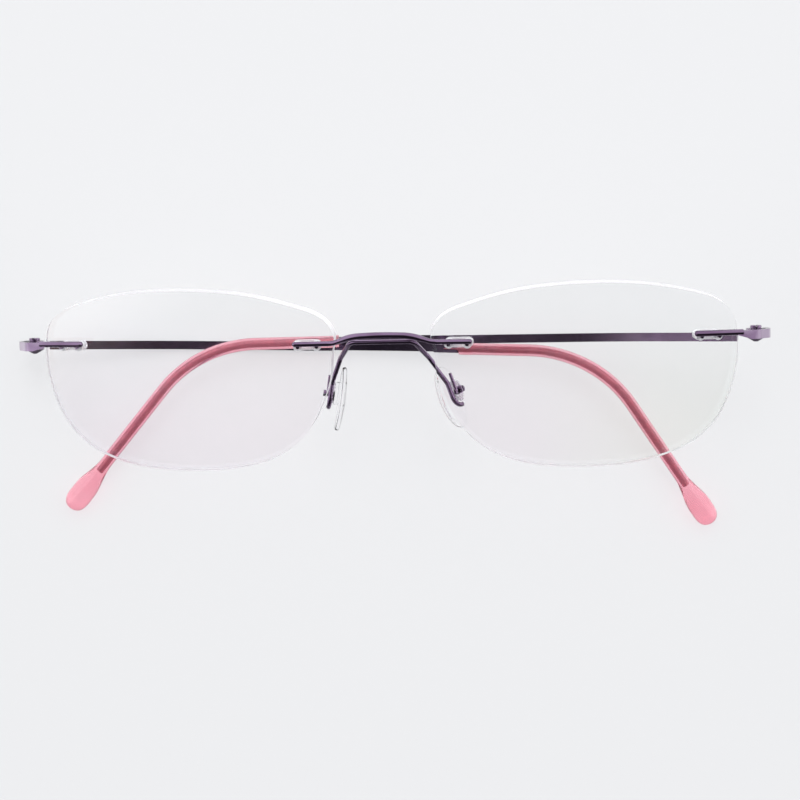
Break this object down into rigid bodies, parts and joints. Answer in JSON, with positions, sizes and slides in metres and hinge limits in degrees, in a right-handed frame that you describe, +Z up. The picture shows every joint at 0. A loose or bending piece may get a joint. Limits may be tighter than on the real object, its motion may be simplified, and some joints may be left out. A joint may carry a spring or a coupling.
{
  "type": "rimless eyeglasses",
  "caption": "Rimless spectacles with lenses screwed to a wire bridge and flat wire temples in clear tinted ear sleeves, folded and lying lens side up.",
  "frame": {"origin": "centre of the bounding box's bottom, on the table the folded glasses lie on", "axes": "+X towards the wearer's left temple hinge, +Y towards the tops of the lenses, +Z up from the table towards the lens fronts"},
  "size_m": [0.1328, 0.0466, 0.0283],
  "materials": {
    "metal": "plum ion-plated titanium, satin gloss",
    "screw": "small plated screws and cores",
    "lens": "clear coated plastic lens",
    "clear_plug": "clear plastic",
    "nose_pad": "clear silicone",
    "tip": "clear pink plastic sleeve"
  },
  "bodies": {
    "front": {"bridge": "metal", "guard_wire": "metal", "left_lens": "lens", "left_nasal_plugs": "clear_plug", "left_temporal_plugs": "clear_plug", "left_endpiece": "metal", "left_hinge_screw": "screw", "left_hinge_cap": "metal", "left_pad_holder": "metal", "right_lens": "lens", "right_nasal_plugs": "clear_plug", "right_temporal_plugs": "clear_plug", "right_endpiece": "metal", "right_hinge_screw": "screw", "right_hinge_cap": "metal", "right_pad_holder": "metal"},
    "left_temple_body": {"left_temple": "metal", "left_temple_tip": "tip"},
    "left_pad": {"left_nose_pad": "nose_pad", "left_pad_core": "screw", "left_pad_screw": "screw"},
    "right_temple_body": {"right_temple": "metal", "right_temple_tip": "tip"},
    "right_pad": {"right_nose_pad": "nose_pad", "right_pad_core": "screw", "right_pad_screw": "screw"}
  },
  "joints": [
    {"name": "left_temple_fold", "type": "hinge", "parent": "front", "child": "left_temple_body", "pos_m": [0.06394, 0.01344, 0.01889], "axis": [0, -1, 0], "range_deg": [0, 90]},
    {"name": "right_temple_fold", "type": "hinge", "parent": "front", "child": "right_temple_body", "pos_m": [-0.06396, 0.01344, 0.00545], "axis": [0, 1, 0], "range_deg": [0, 87]},
    {"name": "left_pad_swivel", "type": "hinge", "parent": "front", "child": "left_pad", "pos_m": [0.0123, 0.00492, 0.01831], "axis": [0.7571, 0.2962, 0.5823], "range_deg": [-8, 8]},
    {"name": "right_pad_swivel", "type": "hinge", "parent": "front", "child": "right_pad", "pos_m": [-0.01096, 0.00445, 0.01472], "axis": [-0.9865, 0.1545, 0.0536], "range_deg": [-8, 8]}
  ]
}
